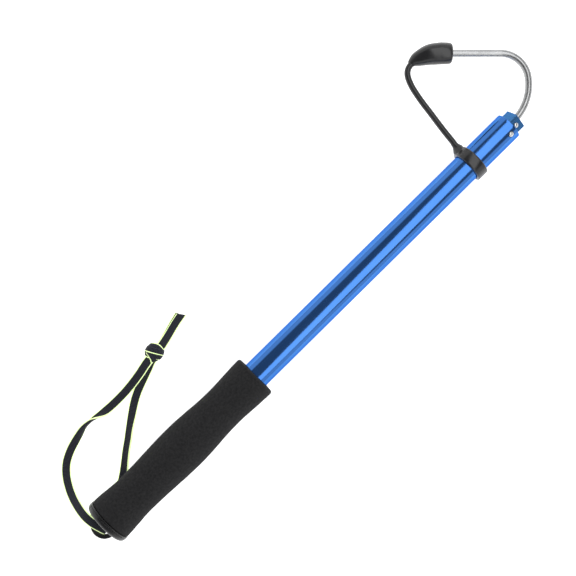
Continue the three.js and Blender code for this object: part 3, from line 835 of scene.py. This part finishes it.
def make_buttons(look):
    """Both snap buttons and the rivet, which has a head on each side of the tube."""
    dome_height = 1.1
    for name, x, lowered, body in (("front_snap_button", FRONT_BUTTON_X, 0, "front_button"),
                                   ("rear_snap_button", REAR_BUTTON_X, REAR_LOWERED, "rear_button")):
        profile = [(BUTTON_BASE, 0.001), (BUTTON_BASE, BUTTON_RADIUS)]
        profile += dome(BUTTON_TOP - dome_height, BUTTON_RADIUS, dome_height)
        domed(name + "_dome", [(z - lowered, r) for z, r in profile], x, look, body, name)
    seat, shank = POLE_SIDE / 2 + 0.3, 1.2
    head = dome(seat, BUTTON_RADIUS, 1.0)
    foot = [(-z, r) for z, r in reversed(head)]
    rivet = foot + [(-seat, shank), (seat, shank)] + head
    domed("hook_rivet_domes", rivet, RIVET_X, look, "inner_pole", "hook_rivet")


def make_spring(node, x, lowered, way, look):
    """A V of spring strip: one leg on the tube's wall, the other under the button."""
    gap = 0.3  # to the button and to the wall
    upper = BUTTON_BASE - gap - SPRING_THICK / 2 - lowered
    lower = gap + SPRING_THICK / 2 + POLE_WALL - POLE_SIDE / 2
    middle = (upper + lower) / 2
    line = smooth_line([(-2.6, upper, 0), (5, upper, 0), (12, (upper + middle + 1) / 2, 0),
                        (17.5, middle + 0.9, 0), (19.0, middle, 0), (17.5, middle - 0.9, 0),
                        (12, (lower + middle - 1) / 2, 0), (7, lower, 0), (-2, lower, 0)], 0.4)
    loops = []
    box = rounded_box(SPRING_WIDTH / 2, SPRING_THICK / 2, 0.15, 2)
    for row, heading in zip(line, headings(line)):
        normal = np.array([-heading[1], heading[0]])
        loops.append([rolled(x + way * (row[0] + b * normal[0]), a, row[1] + b * normal[1]) for a, b in box])
    spring = new_piece(node + "_strip", *skin(np.array(loops)), look)
    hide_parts(node)
    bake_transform(spring)


# ---- hook and its guard -------------------------------------------------------------------
GUARD_MOUTH = 36.7  # along the leg, from the bend's end
GUARD_DEPTH = 18.6
GUARD_BORE = 3.1
GUARD_SIDES = 72
HOOK_START = 421.5
HOOK_POINT = 10.0  # the length that is ground to a point
# x, y, z and radius down the guard's body, from its widest part to the strap
GUARD_BODY = [(418.2, 79.9, 0, 7.9), (412.2, 82.9, 0, 6.6), (407.4, 84.6, 0, 5.1), (404.3, 85, 0, 3.6),
              (402.5, 84.8, 0, 2.7)]
# x, y and z down the strap's middle, from the guard to the ring's neck
STRAP = [(402.2, 84.7, 0), (399.3, 84, 0), (396.1, 81.9, 0), (393.6, 78.2, 0), (391.3, 72.1, 0),
         (389.7, 64.9, 0), (388.5, 57.6, 0), (387.8, 52, 0), (387.1, 46.5, 0), (386, 38.4, 0),
         (384.9, 29.3, 0), (384.1, 20.7, 0)]
STRAP_MIDDLE = 7  # the point of STRAP that stays where it is on the inner pole
RING_X = 382.2
RING_HALF = 4.6
RING_RADIUS = 13.5
NECK_FOOT = 12  # where the neck's axis meets the ring's middle
NECK_SLOPE = 0.21  # how far the neck shifts along the pole, per millimetre out


def bend_point(heading):
    """Where the wire is when it has turned by heading."""
    wide = min(heading, TIGHT_FROM)
    x = BEND_START + WIDE_RADIUS * math.sin(wide) + TIGHT_RADIUS * (math.sin(heading) - math.sin(wide))
    return x, WIDE_RADIUS * (1 - math.cos(wide)) + TIGHT_RADIUS * (math.cos(wide) - math.cos(heading))


def leg_point(along):
    """A point of the hook's straight leg, that far from the bend's end."""
    end_x, end_y = bend_point(BEND_ANGLE)
    return end_x + along * math.cos(BEND_ANGLE), end_y + along * math.sin(BEND_ANGLE)


def make_hook(look):
    """Wire along the axis, the bend, and a straight leg ground to a sharp point."""
    rows = [(x, 0, 0, WIRE_RADIUS) for x in np.linspace(HOOK_START, BEND_START - 0.5, 12)]
    for turn in np.linspace(0, BEND_ANGLE, 120):
        rows.append((*bend_point(turn), 0, WIRE_RADIUS))
    for along in np.linspace(0.6, LEG_LENGTH - HOOK_POINT, 50):
        rows.append((*leg_point(along), 0, WIRE_RADIUS))
    for share in np.linspace(0.05, 1, 18):
        along = LEG_LENGTH - HOOK_POINT * (1 - share)
        rows.append((*leg_point(along), 0, max(0.12, WIRE_RADIUS * (1 - share ** 1.6))))
    hook = wire("hook_wire", np.array(rows, float), look, sides=48)
    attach(hook, "inner_pole")
    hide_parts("hook")


def make_guard(look):
    """Rubber guard: a blind bore with a funnel mouth, a rolled lip and a body that narrows to the strap."""
    bore = [(GUARD_DEPTH, 0.4), (GUARD_DEPTH, GUARD_BORE), (10, GUARD_BORE), (2.8, GUARD_BORE)]
    funnel = [(1.4, 3.7), (0.6, 4.7), (0.1, 5.6), (0.0, 6.1)]
    lip = [(0.1, 6.7), (0.5, 7.3), (1.1, 7.7), (1.9, 7.95), (4, 8.15), (8.5, 8.3)]
    side = np.array([-math.sin(BEND_ANGLE), math.cos(BEND_ANGLE), 0])
    loops = []
    for along, radius in bore + funnel + lip:
        centre = np.array([*leg_point(GUARD_MOUTH + along), 0])
        loops.append(circle(centre, radius, side, UP, GUARD_SIDES))
    lip_end, lip_radius = lip[-1]
    body = smooth_line([(*leg_point(GUARD_MOUTH + lip_end), 0, lip_radius)] + GUARD_BODY, 0.6)
    for row, way in list(zip(body, headings(body)))[1:]:
        loops.append(circle(row[:3], row[3], left_of(way), UP, GUARD_SIDES))
    guard = new_piece("tip_guard_moulding", *skin(np.array(loops)), look)
    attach(guard, "point_guard")
    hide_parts("tip_guard")


def make_strap(look):
    """Two halves of one stretchy strap; each runs between its moulding and the strap's middle."""
    halves = (("guard_strap_upper", STRAP[: STRAP_MIDDLE + 1], "point_guard", STRAP[0]),
              ("guard_strap_lower", STRAP[STRAP_MIDDLE:], "tube_ring", STRAP[-1]))
    for node, points, moving, end in halves:
        line = smooth_line(points, 0.6)
        rows = np.column_stack([line, np.full(len(line), STRAP_RADIUS)])
        strap = wire(node + "_moulding", rows, look)
        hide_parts(node)
        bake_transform(strap)


def make_ring(look):
    """Rubber ring round the tube, with a neck that flares from the strap into it."""
    inner = TUBE_RADIUS + 0.3
    outline = [(-RING_HALF, inner), (-RING_HALF, RING_RADIUS), (RING_HALF, RING_RADIUS), (RING_HALF, inner)]
    profile = [(RING_X + x, r) for x, r in rounded(outline, [0.3, 1.1, 1.1, 0.3])]
    ring = lathe("guard_ring_moulding", profile, look)
    neck = [(21.1, 2.45, 2.45), (19, 2.5, 2.5), (17.4, 2.7, 2.5), (15.8, 3.6, 3.2), (14.4, 4.4, 4.2),
            (12.6, 4.6, 5.4), (11.6, 4.6, 6.0)]  # y, half its width and half its height
    turns = np.linspace(0, 2 * math.pi, 48, endpoint=False)
    loops = []
    for y, wide, thick in neck:
        centre = RING_X + NECK_SLOPE * (y - NECK_FOOT)
        loops.append([at(centre + wide * math.cos(t), y, thick * math.sin(t)) for t in turns])
    combine(ring, new_piece("neck", *skin(np.array(loops)), look), "UNION")
    bore = cylinder("bore", inner, -30, 30, (1, 0, 0), look, sides=160, centre=(RING_X, 0, 0))
    combine(ring, bore, "DIFFERENCE")
    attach(ring, "tube_ring")
    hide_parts("guard_ring")


# ---- studio -------------------------------------------------------------------------------
def make_floor():
    """A white table that glows a little, so that the picture's ground is plain white."""
    half = 2.5  # metres
    corners = [(-half, -half, 0), (half, -half, 0), (half, half, 0), (-half, half, 0)]
    look, _, shader = new_look("floor", (0.9, 0.9, 0.9), 0.9)
    shader.inputs["Emission Color"].default_value = (1, 1, 1, 1)
    shader.inputs["Emission Strength"].default_value = 0.85
    floor = new_piece("floor", corners, [(0, 1, 2, 3)], look)


def make_light():
    """One long softbox above the table, which gives the tube its long highlights."""
    light = bpy.data.lights.new("softbox", "AREA")
    light.shape = "RECTANGLE"
    light.size = 3.4
    light.size_y = 0.755
    radiance = 1.95
    light.energy = radiance * math.pi * light.size * light.size_y
    softbox = bpy.data.objects.new("softbox", light)
    bpy.context.scene.collection.objects.link(softbox)
    softbox.location = at(600, -305, 1200)
    softbox.rotation_euler = (0, 0, math.radians(59.5))
    softbox.visible_camera = False


def make_world():
    """White walls, a little higher on the hook's side, and a dark ceiling."""
    world = bpy.data.worlds.new("studio")
    bpy.context.scene.world = world
    world.use_nodes = True
    tree = world.node_tree
    place = tree.nodes.new("ShaderNodeTexCoord")
    split = tree.nodes.new("ShaderNodeSeparateXYZ")
    tree.links.new(place.outputs["Generated"], split.inputs[0])
    height = calc(tree, "ADD", split.outputs["Z"], calc(tree, "MULTIPLY", split.outputs["Y"], -0.06))
    shade_of = mixed(tree, ramp(tree, height, 0.49, 0.57, 0, 1), (1.05, 1.05, 1.05), (0.17, 0.17, 0.17))
    background = tree.nodes["Background"]
    tree.links.new(shade_of, background.inputs["Color"])


def dress_cad(looks):
    """Materials for the CAD nodes that stay as they are."""
    for node, slot in (("front_bush", "nylon"), ("rear_guide", "nylon"), ("rear_guide_pin", "spring_steel"),
                       ("hook_plug", "nylon")):
        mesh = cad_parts[node].data
        mesh.materials.clear()
        mesh.materials.append(looks[slot])


make_camera()
looks = make_looks()
make_lanyard(looks["webbing"])
make_outer_tube(looks["tube_blue"])
make_grip(looks["foam"])
make_end_cap(looks["cap_plastic"])
make_inner_tube(looks["pole_blue"])
make_buttons(looks["stainless"])
make_spring("front_snap_spring", FRONT_BUTTON_X, 0, -1, looks["spring_steel"])
make_spring("rear_snap_spring", REAR_BUTTON_X, REAR_LOWERED, 1, looks["spring_steel"])
make_hook(looks["hook_steel"])
make_guard(looks["guard_rubber"])
make_strap(looks["guard_rubber"])
make_ring(looks["guard_rubber"])
dress_cad(looks)
make_floor()
make_light()
make_world()
bpy.context.scene.view_settings.view_transform = "Standard"
